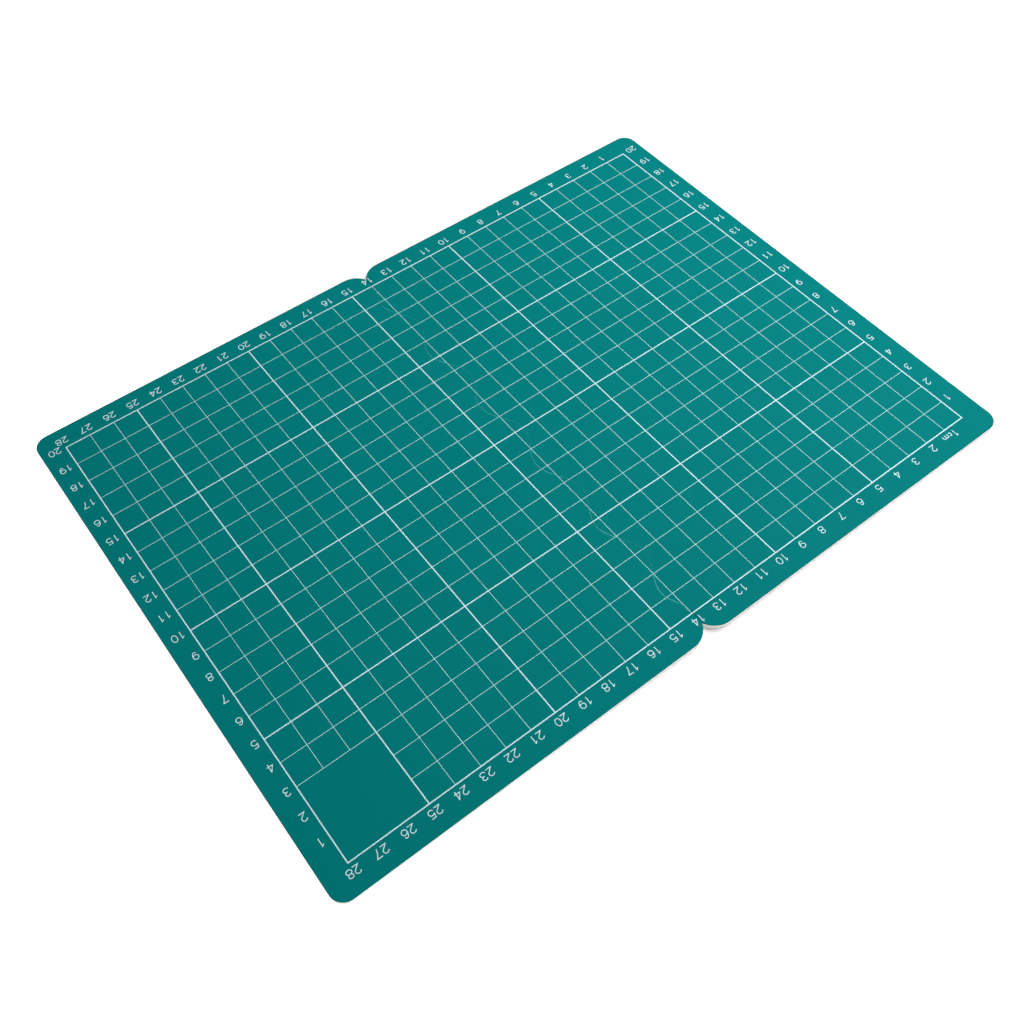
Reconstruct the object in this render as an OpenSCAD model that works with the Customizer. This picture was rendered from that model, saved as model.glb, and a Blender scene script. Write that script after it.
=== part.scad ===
// Folding self healing cutting mat, lying open. Millimetres.
// +X runs along the grid's 28 columns, +Y towards the top row of numerals, +Z up.
// The origin is at the centre of the outline, on the surface that the mat lies on.

/* [Mat] */
// Width of the open mat, along X
mat_w = 300; // [296:1:320]
// Depth of the mat, along Y
mat_d = 220; // [218:1:240]
// Radius of the four outer corners
corner_r = 5.5; // [2:0.5:10]

/* [Plies] */
// Thickness of the green skin that is cut on
skin_t = 0.5; // [0.3:0.1:1]
// Thickness of the white core
core_t = 1.4; // [0.6:0.1:2]
// Thickness of the white backing, which holds the hinge film
back_t = 0.6; // [0.5:0.1:1]

/* [Fold] */
// How far the wavy seam swings to each side of the fold line
wave_amp = 3.4; // [1:0.1:5]
// Length of one wave of the seam
wave_len = 35.2; // [30:0.1:40]
// Gap between the two panels along the seam
seam_gap = 0.1; // [0.05:0.05:0.6]
// Radius of the panel corners at the ends of the fold
notch_r = 9; // [6:0.5:12]
// How far the ends of the fold line lie inside the mat's long edges
notch_depth = 5.3; // [3:0.1:6]
// Width of the hinge film
film_w = 16; // [12:1:30]
// Thickness of the hinge film
film_t = 0.2; // [0.1:0.05:0.3]
// Room above the film near the fold, under the seam's waves
film_room = 0.05; // [0.03:0.01:0.1]

/* [Print] */
// Thickness of the printed ink
ink_t = 0.03; // [0.02:0.01:0.1]
// Width of the lines at each centimetre
fine_line = 0.15; // [0.1:0.01:0.4]
// Width of the lines at each fifth centimetre
heavy_line = 0.4; // [0.3:0.01:0.8]
// Width of the frame around the grid
frame_line = 0.4; // [0.3:0.01:0.8]
// Shift of the whole print along X
print_shift = 0.3; // [-1:0.1:1]
// Height of a numeral
digit_h = 3.1; // [2:0.1:3.6]
// Width of a numeral
digit_w = 2.2; // [1.4:0.1:2.4]
// Distance between the two digits of a number
digit_pitch = 2.6; // [2.4:0.1:3]
// Width of a numeral's stroke
stroke_w = 0.28; // [0.2:0.02:0.5]

/* [Hidden] */
$fn = 64;

LEFT = -1;
RIGHT = 1;

core_z = back_t;
skin_z = back_t + core_t;
ink_z = skin_z + skin_t;

// the fold: the waves fade out over fade_len after the last crest, and the line then runs straight
crest_y = 2.5 * wave_len;
fade_len = 0.3 * wave_len;
wave_step = wave_len / 32;
notch_c = sqrt(notch_r * notch_r - pow(notch_r - notch_depth, 2));
film_len = mat_d - 2 * notch_depth - 2.4;
film_seat = 0.2;
past = 5;

// the grid
pitch = 10;
cols = 28;
rows = 20;
heavy_each = 5;
blank_cols = 3;
blank_rows = 3;
grid_w = cols * pitch;
grid_d = rows * pitch;

// centres of the numerals, measured out from the grid's frame
top_row_out = 3.25;
bottom_row_out = 3.8;
left_column_out = 3.65;
right_column_out = 3.2;
column_drop = 0.3;
first_number_x = 7.7;
unit_x = 11.0;

function column_x(u) = print_shift - grid_w / 2 + u * pitch;
function row_y(v) = grid_d / 2 - v * pitch;
function heavy(n) = n % heavy_each == 0;

// ---- the seam and the panel's outline

function fade(y) = (1 + cos(180 * min(abs(y) - crest_y, fade_len) / fade_len)) / 2;
function seam_x(y) = abs(y) > crest_y ? wave_amp * fade(y) : -wave_amp * cos(360 * y / wave_len);

// everything on one side of the seam, moved off it by half the gap
module side_of_seam(side) {
    last = ceil((mat_d / 2 + past) / wave_step);
    line = [for (i = [-last:last]) [seam_x(i * wave_step) + side * seam_gap / 2, i * wave_step]];
    polygon(concat(line, [[side * mat_w, last * wave_step], [side * mat_w, -last * wave_step]]));
}

module rounded_sheet() {
    w = mat_w - 2 * corner_r;
    d = mat_d - 2 * corner_r;
    square([mat_w, d], center = true);
    square([w, mat_d], center = true);
    for (x = [-w / 2, w / 2], y = [-d / 2, d / 2]) translate([x, y]) circle(corner_r);
}

// what is cut away between the round panel corners at one end of the fold
module notch() {
    y = mat_d / 2 - notch_r;
    difference() {
        translate([-notch_c, y]) square([2 * notch_c, notch_r + past]);
        for (x = [-notch_c, notch_c]) translate([x, y]) circle(notch_r);
    }
}

module panel_outline(side) {
    difference() {
        intersection() {
            rounded_sheet();
            side_of_seam(side);
        }
        notch();
        mirror([0, 1]) notch();
    }
}

module ply(side, z, t) {
    translate([0, 0, z]) linear_extrude(t) panel_outline(side);
}

// ---- plies and hinge

module top_skin(side) { color("teal") ply(side, skin_z, skin_t); }

module core(side) { color("white") ply(side, core_z, core_t); }

// the back, with the film's seat, which is a little deeper under the seam's waves
module backing(side) {
    seat_w = film_w + 2 * film_seat;
    room_w = 2 * (wave_amp + seam_gap + 0.3);
    seat_d = film_len + 2 * film_seat;
    color("whitesmoke") difference() {
        ply(side, 0, back_t);
        translate([-seat_w / 2, -seat_d / 2, -1]) cube([seat_w, seat_d, film_t + 1]);
        translate([-room_w / 2, -seat_d / 2, -1]) cube([room_w, seat_d, film_t + film_room + 1]);
    }
}

module hinge_film(side) {
    color("gainsboro") translate([min(0, side * film_w / 2), -film_len / 2, 0])
        cube([film_w / 2, film_len, film_t]);
}

// ---- printed lines

module column_line(u, w, v0 = 0, v1 = rows) {
    translate([column_x(u) - w / 2, row_y(v1)]) square([w, (v1 - v0) * pitch]);
}

module row_line(v, w, u0 = 0, u1 = cols) {
    translate([column_x(u0), row_y(v) - w / 2]) square([(u1 - u0) * pitch, w]);
}

module frame_lines() {
    difference() {
        translate([print_shift, 0]) square([grid_w + frame_line, grid_d + frame_line], center = true);
        translate([print_shift, 0]) square([grid_w - frame_line, grid_d - frame_line], center = true);
    }
}

module heavy_lines() {
    for (u = [heavy_each:heavy_each:cols - 1]) column_line(u, heavy_line);
    for (v = [heavy_each:heavy_each:rows - 1]) row_line(v, heavy_line);
}

// a corner of the grid, blank_cols by blank_rows, has no lines in it
module fine_lines() {
    for (u = [1:cols - 1]) if (!heavy(u)) column_line(u, fine_line, u > cols - blank_cols ? blank_rows : 0);
    for (v = [1:rows - 1]) if (!heavy(v)) row_line(v, fine_line, 0, v < blank_rows ? cols - blank_cols : cols);
}

module ink() { color("white") translate([0, 0, ink_z]) linear_extrude(ink_t) children(); }

module frame_print(side) {
    ink() intersection() {
        frame_lines();
        side_of_seam(side);
    }
}

module heavy_lines_print(side) {
    ink() difference() {
        intersection() {
            heavy_lines();
            side_of_seam(side);
        }
        frame_lines();
    }
}

module fine_lines_print(side) {
    ink() difference() {
        intersection() {
            fine_lines();
            side_of_seam(side);
        }
        heavy_lines();
        frame_lines();
    }
}

// ---- numerals: strokes of one width around centre lines. x is 0 in the middle and y is 0 at the foot.

half_w = (digit_w - stroke_w) / 2;
top_y = digit_h - stroke_w;
letter_h = 0.56 * digit_h - stroke_w;
arc_step = 20;

function across(a, b) = [a.y - b.y, b.x - a.x] / norm(b - a);
function mitre(p, i) =
    let (n = len(p) - 1,
         before = across(p[max(i, 1) - 1], p[max(i, 1)]),
         after = across(p[min(i, n - 1)], p[min(i, n - 1) + 1]),
         sum = before + after)
    sum * stroke_w / (sum * sum);
function arc(c, r, from, to) =
    let (n = ceil(abs(to - from) / arc_step))
    [for (i = [0:n]) let (a = from + (to - from) * i / n) [c.x + r.x * cos(a), c.y + r.y * sin(a)]];

module stroke(p) {
    n = len(p) - 1;
    polygon(concat([for (i = [0:n]) p[i] + mitre(p, i)], [for (i = [n:-1:0]) p[i] - mitre(p, i)]));
}

module loop_stroke(c, r) {
    s = stroke_w / 2;
    difference() {
        polygon(arc(c, r + [s, s], 0, 360 - arc_step));
        polygon(arc(c, r - [s, s], 0, 360 - arc_step));
    }
}

module zero() { loop_stroke([0, top_y / 2], [half_w, top_y / 2]); }

module one() {
    stem = 0.15 * half_w;
    stroke([[stem, -stroke_w / 2], [stem, top_y + stroke_w / 2]]);
    stroke([[stem, top_y - 0.1], [stem - 0.75 * half_w, top_y - 0.6]]);
}

module two() {
    r = [0.95 * half_w, 0.3 * top_y];
    stroke(concat(arc([0, top_y - r.y], r, 165, -30), [[-0.95 * half_w, 0]]));
    stroke([[-half_w - stroke_w / 2, 0], [half_w + stroke_w / 2, 0]]);
}

module three() {
    upper = [0.85 * half_w, 0.24 * top_y];
    lower = [half_w, 0.26 * top_y];
    stroke(arc([0, top_y - upper.y], upper, 160, -105));
    stroke(arc([0, lower.y], lower, 105, -160));
}

module four() {
    stem = 0.42 * half_w;
    bar_y = 0.27 * top_y;
    stroke([[stem, -stroke_w / 2], [stem, top_y + stroke_w / 2]]);
    stroke([[stem, top_y], [-half_w, bar_y], [1.1 * half_w, bar_y]]);
}

module five() {
    bowl = [half_w, 0.33 * top_y];
    stroke([[0.85 * half_w, top_y], [-0.7 * half_w, top_y], [-0.85 * half_w, 0.5 * top_y]]);
    stroke(arc([0, bowl.y], bowl, 145, -155));
}

module six() {
    bowl = [half_w, 0.32 * top_y];
    c = [0, bowl.y];
    stroke(concat(arc(c, [half_w, top_y - bowl.y], 50, 180), arc(c, bowl, 180 + arc_step, 360 - arc_step)));
    stroke(arc(c, bowl, -arc_step, 165));
}

module seven() {
    stroke([[-half_w, top_y], [half_w + 0.1, top_y]]);
    stroke([[half_w, top_y], [0.1 * half_w, top_y / 2], [-0.35 * half_w, -stroke_w / 2]]);
}

module eight() {
    upper = [0.85 * half_w, 0.245 * top_y];
    lower = [half_w, 0.265 * top_y];
    loop_stroke([0, top_y - upper.y], upper);
    loop_stroke([0, lower.y], lower);
}

module nine() { translate([0, top_y]) rotate(180) six(); }

// one digit, centred on its place
module digit(d) {
    translate([0, -top_y / 2]) {
        if (d == 0) zero();
        if (d == 1) one();
        if (d == 2) two();
        if (d == 3) three();
        if (d == 4) four();
        if (d == 5) five();
        if (d == 6) six();
        if (d == 7) seven();
        if (d == 8) eight();
        if (d == 9) nine();
    }
}

// the unit after the first number, on the same foot line
module cm() {
    c_r = [0.55 * half_w, letter_h / 2];
    arch = [0.27 * digit_w, 0.45 * letter_h];
    m_x = 1.07 * digit_w;
    translate([0, -top_y / 2]) {
        stroke(arc([0, c_r.y], c_r, 45, 315));
        for (i = [0:2]) stroke([[m_x + (i - 1) * 2 * arch.x, -stroke_w / 2],
                                [m_x + (i - 1) * 2 * arch.x, letter_h - (i == 0 ? 0 : arch.y)]]);
        for (i = [0:1]) stroke(arc([m_x + (2 * i - 1) * arch.x, letter_h - arch.y], arch, 170, 0));
    }
}

// a number with the middle of its first digit at x. A digit belongs to the panel that it stands on.
module number(n, x, y, side) {
    digits = n < pitch ? [n] : [floor(n / pitch), n % pitch];
    for (i = [0:len(digits) - 1])
        if (sign(x + i * digit_pitch) == side) translate([x + i * digit_pitch, y]) digit(digits[i]);
}

function centred(n) = n < pitch ? 0 : -digit_pitch / 2;
function right_aligned(n) = n < pitch ? 0 : -digit_pitch;

module numerals(side) {
    top = grid_d / 2 + top_row_out;
    bottom = -grid_d / 2 - bottom_row_out;
    number(1, column_x(0) + first_number_x, top, side);
    if (side == LEFT) translate([column_x(0) + unit_x - digit_w / 2, top]) cm();
    for (u = [2:cols]) number(u, column_x(u) + centred(u), top, side);
    for (u = [1:cols]) number(u, column_x(u) + centred(u), bottom, side);
    for (v = [1:rows]) {
        y = row_y(v) - column_drop;
        number(v, column_x(0) - left_column_out + right_aligned(v), y, side);
        number(v, column_x(cols) + right_column_out, y, side);
    }
}

module numerals_print(side) { ink() numerals(side); }

top_skin(LEFT);  // left_top_skin
core(LEFT);  // left_core
backing(LEFT);  // left_backing
hinge_film(LEFT);  // left_hinge_film
frame_print(LEFT);  // left_frame_print
heavy_lines_print(LEFT);  // left_heavy_lines_print
fine_lines_print(LEFT);  // left_fine_lines_print
numerals_print(LEFT);  // left_numerals_print
top_skin(RIGHT);  // right_top_skin
core(RIGHT);  // right_core
backing(RIGHT);  // right_backing
hinge_film(RIGHT);  // right_hinge_film
frame_print(RIGHT);  // right_frame_print
heavy_lines_print(RIGHT);  // right_heavy_lines_print
fine_lines_print(RIGHT);  // right_fine_lines_print
numerals_print(RIGHT);  // right_numerals_print
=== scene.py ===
import math

import bmesh
import bpy
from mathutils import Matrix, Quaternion, Vector


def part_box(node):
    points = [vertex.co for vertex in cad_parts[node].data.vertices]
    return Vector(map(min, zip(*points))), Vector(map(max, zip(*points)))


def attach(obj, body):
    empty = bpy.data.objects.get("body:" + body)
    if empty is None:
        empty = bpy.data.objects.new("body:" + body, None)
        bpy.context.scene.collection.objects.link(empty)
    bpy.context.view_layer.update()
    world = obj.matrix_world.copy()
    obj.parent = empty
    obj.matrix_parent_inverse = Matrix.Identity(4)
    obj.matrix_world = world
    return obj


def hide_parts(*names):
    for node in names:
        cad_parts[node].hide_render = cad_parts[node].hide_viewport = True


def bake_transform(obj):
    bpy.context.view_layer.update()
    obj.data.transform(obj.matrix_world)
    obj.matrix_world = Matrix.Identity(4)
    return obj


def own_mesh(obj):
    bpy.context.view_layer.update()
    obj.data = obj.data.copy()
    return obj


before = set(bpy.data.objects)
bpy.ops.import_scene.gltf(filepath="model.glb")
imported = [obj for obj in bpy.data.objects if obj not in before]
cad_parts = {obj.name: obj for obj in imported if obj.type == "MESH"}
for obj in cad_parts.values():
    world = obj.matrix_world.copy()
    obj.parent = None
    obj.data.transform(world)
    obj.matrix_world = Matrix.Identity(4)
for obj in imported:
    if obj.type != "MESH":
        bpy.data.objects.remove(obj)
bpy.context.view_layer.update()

MM = 0.001
SIDES = ("left", "right")
INK_LAYERS = ("frame_print", "heavy_lines_print", "fine_lines_print", "numerals_print")
RIM = 0.12 * MM          # rounding of the plies' outer rims
SEAM_SLOPE = 0.24 * MM   # width of the pale cut slope on the left skin, which carries the seam's painted highlight
SEAM_RIM = 0.03 * MM     # the same on the other plies' seams
SEAM_REACH = 4 * MM      # the seam stays within this of the fold line
SEAM_END = 104.5 * MM    # it runs to just past this, where the notches begin
BEND = 1.2 * MM          # half the width over which the film bends
BEND_STEPS = 12          # cuts in each half of that
FLOOR_GAP = 0.02 * MM    # the floor lies this far below the mat


# ---------------------------------------------------------------- node helpers
def new_material(name, rough, specular):
    """A material with a Principled shader, and the bits that every recipe below uses."""
    mat = bpy.data.materials.new(name)
    mat.use_nodes = True
    tree = mat.node_tree
    shader = tree.nodes["Principled BSDF"]
    shader.inputs["Roughness"].default_value = rough
    shader.inputs["Specular IOR Level"].default_value = specular
    coords = tree.nodes.new("ShaderNodeTexCoord").outputs["Object"]
    return mat, tree, shader, coords


def map_range(tree, value, from_min, from_max, to_min, to_max):
    """The value, carried from one range to another and held at its ends."""
    node = tree.nodes.new("ShaderNodeMapRange")
    names = ("From Min", "From Max", "To Min", "To Max")
    for name, number in zip(names, (from_min, from_max, to_min, to_max)):
        node.inputs[name].default_value = number
    tree.links.new(value, node.inputs["Value"])
    return node.outputs["Result"]


def noise(tree, coords, size, detail=3.0, rough=0.5):
    """Noise whose features are about size metres across."""
    node = tree.nodes.new("ShaderNodeTexNoise")
    node.inputs["Scale"].default_value = 1 / size
    node.inputs["Detail"].default_value = detail
    node.inputs["Roughness"].default_value = rough
    tree.links.new(coords, node.inputs["Vector"])
    return node.outputs["Fac"]


def spread(tree, value, low, high):
    """The middle of a noise, stretched to run from low to high."""
    return map_range(tree, value, 0.3, 0.7, low, high)


def mix(tree, factor, a, b):
    """Colour a at factor 0, b at factor 1. Each is a colour or a socket."""
    node = tree.nodes.new("ShaderNodeMix")
    node.data_type = "RGBA"
    tree.links.new(factor, node.inputs["Factor"])
    for socket, value in ((node.inputs[6], a), (node.inputs[7], b)):
        if isinstance(value, tuple):
            socket.default_value = (*value, 1)
        else:
            tree.links.new(value, socket)
    return node.outputs[2]


def bump(tree, shader, height, distance, strength):
    """Small relief, from a height of 0 to 1 that stands for distance metres."""
    node = tree.nodes.new("ShaderNodeBump")
    node.inputs["Distance"].default_value = distance
    node.inputs["Strength"].default_value = strength
    tree.links.new(height, node.inputs["Height"])
    tree.links.new(node.outputs["Normal"], shader.inputs["Normal"])


# ---------------------------------------------------------------- materials
def green_pvc():
    """Flexible PVC: a fine matte grain, a faint cloudiness, and a roughness that varies a little."""
    mat, tree, shader, coords = new_material("green_pvc", 0.58, 0.015)
    cloud = spread(tree, noise(tree, coords, 45 * MM, 2), 0, 1)
    grain = noise(tree, coords, 0.35 * MM, 3, 0.6)
    speck = spread(tree, grain, 0, 1)
    base = mix(tree, cloud, (0.0, 0.172, 0.167), (0.0, 0.178, 0.173))
    fleck = mix(tree, cloud, (0.0, 0.182, 0.177), (0.0, 0.189, 0.184))
    tree.links.new(mix(tree, speck, base, fleck), shader.inputs["Base Color"])
    dull = spread(tree, noise(tree, coords, 8 * MM, 3), 0.52, 0.64)
    tree.links.new(dull, shader.inputs["Roughness"])
    bump(tree, shader, grain, 0.012 * MM, 0.8)
    return mat


def cut_edge_and_highlight():
    """The seam's cut rim: pale cut PVC, with a painted highlight that makes it paler where the waves cross
    the fold line, most at the +Y end.
    """
    mat, tree, shader, coords = new_material("cut_edge_and_highlight", 0.5, 0.015)
    split = tree.nodes.new("ShaderNodeSeparateXYZ")
    tree.links.new(coords, split.inputs["Vector"])
    # painted highlight: the rim gets paler towards +X and towards +Y, where the seam catches the light
    reach = map_range(tree, split.outputs["X"], -1.5 * MM, 2.5 * MM, 0.12, 1)
    along = map_range(tree, split.outputs["Y"], -90 * MM, 60 * MM, 0.35, 1)
    painted_highlight_mask = tree.nodes.new("ShaderNodeMath")
    painted_highlight_mask.operation = "MULTIPLY"
    tree.links.new(reach, painted_highlight_mask.inputs[0])
    tree.links.new(along, painted_highlight_mask.inputs[1])
    edge = mix(tree, painted_highlight_mask.outputs["Value"], (0.02, 0.46, 0.45), (0.18, 0.80, 0.78))
    tree.links.new(edge, shader.inputs["Base Color"])
    return mat


def white_pvc(name, light, dark, grain_size):
    """Plain matte white plastic with a fine grain."""
    mat, tree, shader, coords = new_material(name, 0.55, 0.3)
    grain = noise(tree, coords, grain_size, 3, 0.6)
    tree.links.new(mix(tree, spread(tree, grain, 0, 1), dark, light), shader.inputs["Base Color"])
    tree.links.new(spread(tree, noise(tree, coords, 6 * MM), 0.5, 0.65), shader.inputs["Roughness"])
    bump(tree, shader, grain, 0.015 * MM, 0.7)
    return mat


def ink(name, thin, full):
    """Thin white screen print: the green and its grain show through a little, and unevenly."""
    mat, tree, shader, coords = new_material(name, 0.6, 0.2)
    cover = spread(tree, noise(tree, coords, 1.5 * MM, 3), 0, 1)
    tree.links.new(mix(tree, cover, thin, full), shader.inputs["Base Color"])
    bump(tree, shader, noise(tree, coords, 0.35 * MM, 3, 0.6), 0.008 * MM, 0.6)
    return mat


def film():
    """Thin flexible film, smoother than the plies."""
    mat, tree, shader, coords = new_material("hinge_film", 0.42, 0.4)
    cloud = spread(tree, noise(tree, coords, 5 * MM), 0, 1)
    tree.links.new(mix(tree, cloud, (0.56, 0.58, 0.58), (0.62, 0.64, 0.64)), shader.inputs["Base Color"])
    bump(tree, shader, noise(tree, coords, 1.2 * MM), 0.02 * MM, 0.5)
    return mat


def glowing(name, colour, near, far):
    """The floor's white. It glows where the key lamp is weak, by distance from the mat's lit end. Near that
    end it hardly glows, so the notches hold a shadow."""
    mat, tree, shader, coords = new_material(name, 0.9, 0.0)
    shader.inputs["Emission Color"].default_value = (1, 1, 1, 1)
    reach = tree.nodes.new("ShaderNodeVectorMath")
    reach.operation = "DISTANCE"
    tree.links.new(coords, reach.inputs[0])
    reach.inputs[1].default_value = (-0.12, 0, 0)
    glow = map_range(tree, reach.outputs["Value"], 0.17, 0.32, near, far)
    tree.links.new(glow, shader.inputs["Emission Strength"])
    tone = tuple(0.985 * c for c in colour)
    tree.links.new(mix(tree, noise(tree, coords, 120 * MM), tone, colour), shader.inputs["Base Color"])
    return mat


GREEN = green_pvc()
# the seam's pale cut rim, with a painted highlight on it
CUT_AND_HIGHLIGHT = cut_edge_and_highlight()
CORE = white_pvc("white_core", (0.86, 0.87, 0.86), (0.80, 0.81, 0.80), 0.5 * MM)
BACK = white_pvc("white_backing", (0.80, 0.81, 0.80), (0.73, 0.74, 0.73), 0.4 * MM)
INK = ink("white_ink", (0.60, 0.82, 0.88), (0.66, 0.86, 0.92))
FINE_INK = ink("white_ink_fine", (0.56, 0.89, 0.94), (0.62, 0.92, 0.96))
FILM = film()


def dress(obj, mat):
    """Gives the whole object one material."""
    if not obj.data.materials:
        obj.data.materials.append(mat)
    for s in obj.material_slots:
        s.link = "OBJECT"
        s.material = mat


# ---------------------------------------------------------------- pieces
def at_seam(e):
    """True for a rim edge on the wavy seam between the panels."""
    return all(abs(v.co.x) < SEAM_REACH and abs(v.co.y) < SEAM_END for v in e.verts)


def rounded_ply(node, name, body, mat, top, seam_radius):
    """A copy of a ply with one rim softly rounded: its top one, or else its bottom one.
    The rim at the seam takes seam_radius, and on a green ply the cut edge's material, pale with a painted
    highlight."""
    low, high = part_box(node)
    bm = bmesh.new()
    bm.from_mesh(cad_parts[node].data)
    bmesh.ops.remove_doubles(bm, verts=bm.verts, dist=0.001 * MM)
    bmesh.ops.dissolve_limit(bm, angle_limit=math.radians(0.5), verts=bm.verts, edges=bm.edges)
    level = high.z if top else low.z
    bm.normal_update()
    rim = []
    for e in bm.edges:
        flat = all(abs(v.co.z - level) < 0.002 * MM for v in e.verts)
        if flat and len(e.link_faces) == 2:
            up = sorted(abs(f.normal.z) for f in e.link_faces)
            if up[0] < 0.5 < up[1]:
                rim.append(e)
    seam = [e for e in rim if at_seam(e)]
    outer = [e for e in rim if e not in seam]
    shape = {"offset_type": "OFFSET", "profile": 0.5, "affect": "EDGES", "clamp_overlap": True}
    made = bmesh.ops.bevel(bm, geom=seam, offset=seam_radius, segments=1, **shape)
    for face in made["faces"]:
        face.material_index = 1
    outer = [e for e in outer if e.is_valid]
    bmesh.ops.bevel(bm, geom=outer, offset=RIM, segments=3, **shape)
    mesh = bpy.data.meshes.new(name)
    bm.to_mesh(mesh)
    bm.free()
    obj = bpy.data.objects.new(name, mesh)
    bpy.context.collection.objects.link(obj)
    for p in mesh.polygons:  # only the rounded rim is smooth, so that the wide flat faces stay flat
        p.use_smooth = 0.02 < abs(p.normal.z) < 0.999
    for m in (mat, CUT_AND_HIGHLIGHT if mat is GREEN else mat):
        mesh.materials.append(m)
    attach(obj, body)
    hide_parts(node)


def hinge_strip():
    """The film in one piece, cut finely across the fold so that it can bend there."""
    left_low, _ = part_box("left_hinge_film")
    _, right_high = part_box("right_hinge_film")
    half = right_high.x
    xs = [-half] + [BEND * (i / BEND_STEPS - 1) for i in range(2 * BEND_STEPS + 1)] + [half]
    ys = [left_low.y, right_high.y]
    z0, z1 = left_low.z, right_high.z
    bm = bmesh.new()
    rows = [[[bm.verts.new((x, y, z)) for x in xs] for y in ys] for z in (z0, z1)]
    last = len(xs) - 1
    for i in range(last):
        bm.faces.new((rows[0][0][i], rows[0][1][i], rows[0][1][i + 1], rows[0][0][i + 1]))
        bm.faces.new((rows[1][0][i], rows[1][0][i + 1], rows[1][1][i + 1], rows[1][1][i]))
        bm.faces.new((rows[0][0][i], rows[0][0][i + 1], rows[1][0][i + 1], rows[1][0][i]))
        bm.faces.new((rows[0][1][i], rows[1][1][i], rows[1][1][i + 1], rows[0][1][i + 1]))
    for i in (0, last):
        bm.faces.new((rows[0][0][i], rows[1][0][i], rows[1][1][i], rows[0][1][i]))
    bmesh.ops.recalc_face_normals(bm, faces=bm.faces)
    mesh = bpy.data.meshes.new("hinge_film_strip")
    bm.to_mesh(mesh)
    bm.free()
    obj = bpy.data.objects.new("hinge_film_strip", mesh)
    bpy.context.collection.objects.link(obj)
    dress(obj, FILM)
    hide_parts("left_hinge_film", "right_hinge_film")
    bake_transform(obj)


for side in SIDES:
    body = side + "_panel"
    rounded_ply(side + "_top_skin", side + "_green_skin", body, GREEN, top=True,
                seam_radius=SEAM_SLOPE if side == "left" else SEAM_RIM)
    rounded_ply(side + "_backing", side + "_white_backing", body, BACK, top=False,
                seam_radius=SEAM_RIM)
    dress(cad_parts[side + "_core"], CORE)
    for layer in INK_LAYERS:
        fine = layer == "fine_lines_print"
        dress(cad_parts[side + "_" + layer], FINE_INK if fine else INK)
hinge_strip()


# ---------------------------------------------------------------- floor
def floor():
    """A wide pale floor, a hair below the mat. The folded panel reaches below the base."""
    bm = bmesh.new()
    bmesh.ops.create_grid(bm, x_segments=8, y_segments=8, size=6.0)
    bmesh.ops.translate(bm, verts=bm.verts, vec=(0, 0, -FLOOR_GAP))
    mesh = bpy.data.meshes.new("floor")
    bm.to_mesh(mesh)
    bm.free()
    obj = bpy.data.objects.new("floor", mesh)
    bpy.context.collection.objects.link(obj)
    dress(obj, glowing("floor_white", (0.95, 0.905, 0.89), 0.12, 1.0))
    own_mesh(obj)


floor()


# ---------------------------------------------------------------- light
def area(name, place, target, width, depth, power, colour):
    """A soft rectangular lamp at place, turned towards target, that the camera can't see."""
    light = bpy.data.lights.new(name, "AREA")
    light.shape = "RECTANGLE"
    light.size, light.size_y, light.energy, light.color = width, depth, power, colour
    obj = bpy.data.objects.new(name, light)
    bpy.context.collection.objects.link(obj)
    obj.location = place
    obj.rotation_mode = "QUATERNION"
    obj.rotation_quaternion = (Vector(target) - Vector(place)).to_track_quat("-Z", "Y")
    obj.visible_camera = False


area("key", (-0.4, 0.02, 0.57), (-0.05, 0, 0), 0.6, 0.6, 6.4, (0.96, 1.0, 1.02))
area("low_fill", (0.7, 0.9, 0.16), (0, 0, 0), 1.0, 0.3, 0.6, (1.0, 1.0, 0.85))


def studio():
    """White all round up to about 25 degrees, and dim overhead, so that the mat's top stays free of glare."""
    world = bpy.data.worlds.new("studio")
    world.use_nodes = True
    tree = world.node_tree
    split = tree.nodes.new("ShaderNodeSeparateXYZ")
    tree.links.new(tree.nodes.new("ShaderNodeTexCoord").outputs["Generated"], split.inputs["Vector"])
    fade = map_range(tree, split.outputs["Z"], 0.38, 0.46, 1.02, 0.04)
    shade = tree.nodes["Background"]
    shade.inputs["Color"].default_value = (1.0, 1.0, 1.0, 1)
    tree.links.new(fade, shade.inputs["Strength"])
    bpy.context.scene.world = world


studio()


# ---------------------------------------------------------------- camera
def camera():
    """Looks down across the mat from past its +X +Y corner, and leans a little to one side."""
    place = Vector((0.15875, 0.21355, 0.33967))
    target = Vector((0.022583, 0.027248, 0))
    lean = Quaternion((0, 0, 1), math.radians(-1.41191))
    data = bpy.data.cameras.new("camera")
    data.lens, data.sensor_width = 39.22, 36
    data.clip_start, data.clip_end = 0.01, 50
    obj = bpy.data.objects.new("camera", data)
    bpy.context.collection.objects.link(obj)
    obj.location = place
    obj.rotation_mode = "QUATERNION"
    obj.rotation_quaternion = (target - place).to_track_quat("-Z", "Y") @ lean
    bpy.context.scene.camera = obj


camera()
bpy.context.scene.view_settings.view_transform = "Standard"
